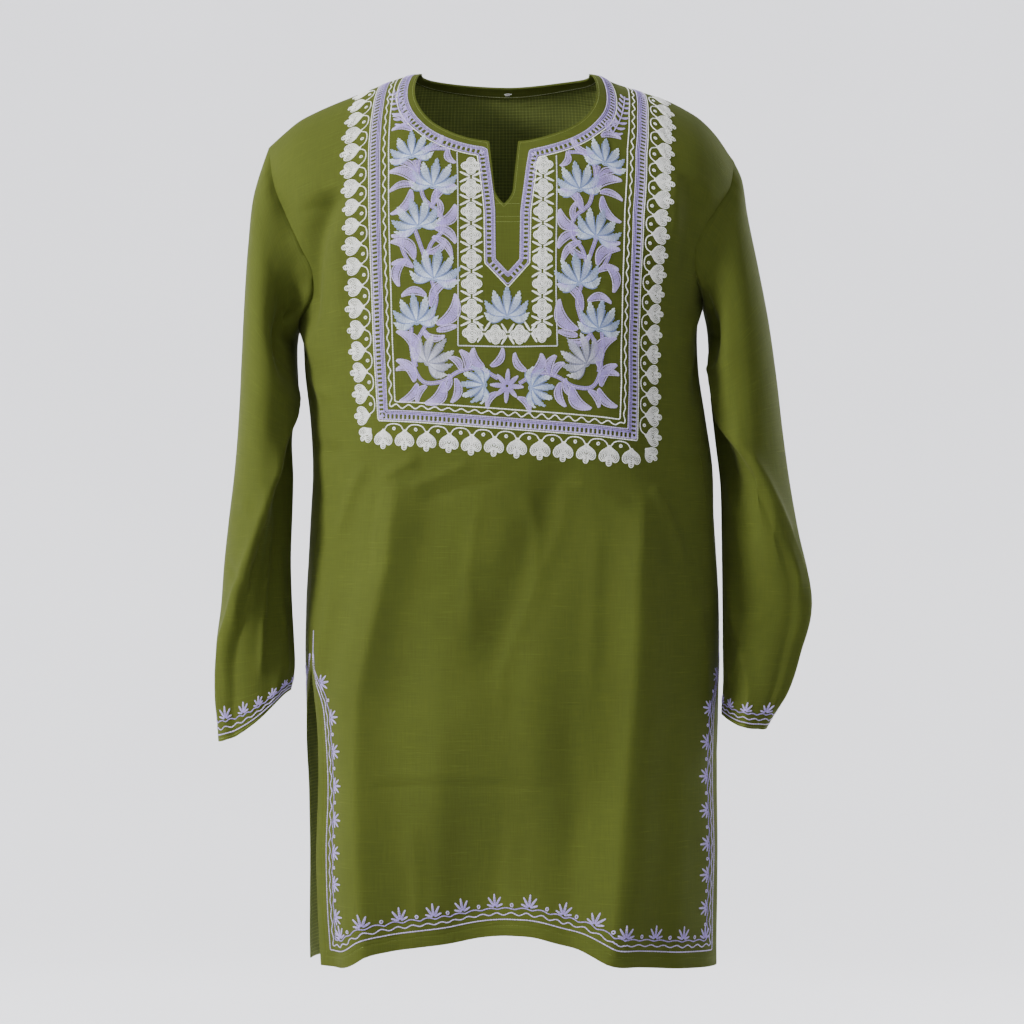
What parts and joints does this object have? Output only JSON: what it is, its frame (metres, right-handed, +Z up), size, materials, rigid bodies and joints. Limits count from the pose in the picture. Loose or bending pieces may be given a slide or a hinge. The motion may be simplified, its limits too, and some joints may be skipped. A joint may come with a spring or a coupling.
{
  "type": "kurta tunic",
  "caption": "Long-sleeved cotton tunic with a notched round neck, embroidered yoke and side slits, filled out as if worn.",
  "frame": {"origin": "middle of the neck, level with the high points of the shoulders where the wearer's shoulders hold the garment", "axes": "+Z up, -Y towards the front of the garment, +X towards the wearer's left"},
  "size_m": [0.6073, 0.247, 0.9155],
  "materials": {
    "olive_cotton": "slubby plain-weave cotton, matt",
    "facing_cotton": "plain-weave cotton, matt"
  },
  "bodies": {
    "root": {"front": "olive_cotton", "back": "olive_cotton", "sleeve_right": "olive_cotton", "sleeve_left": "olive_cotton", "neck_facing_back": "facing_cotton"}
  },
  "joints": []
}
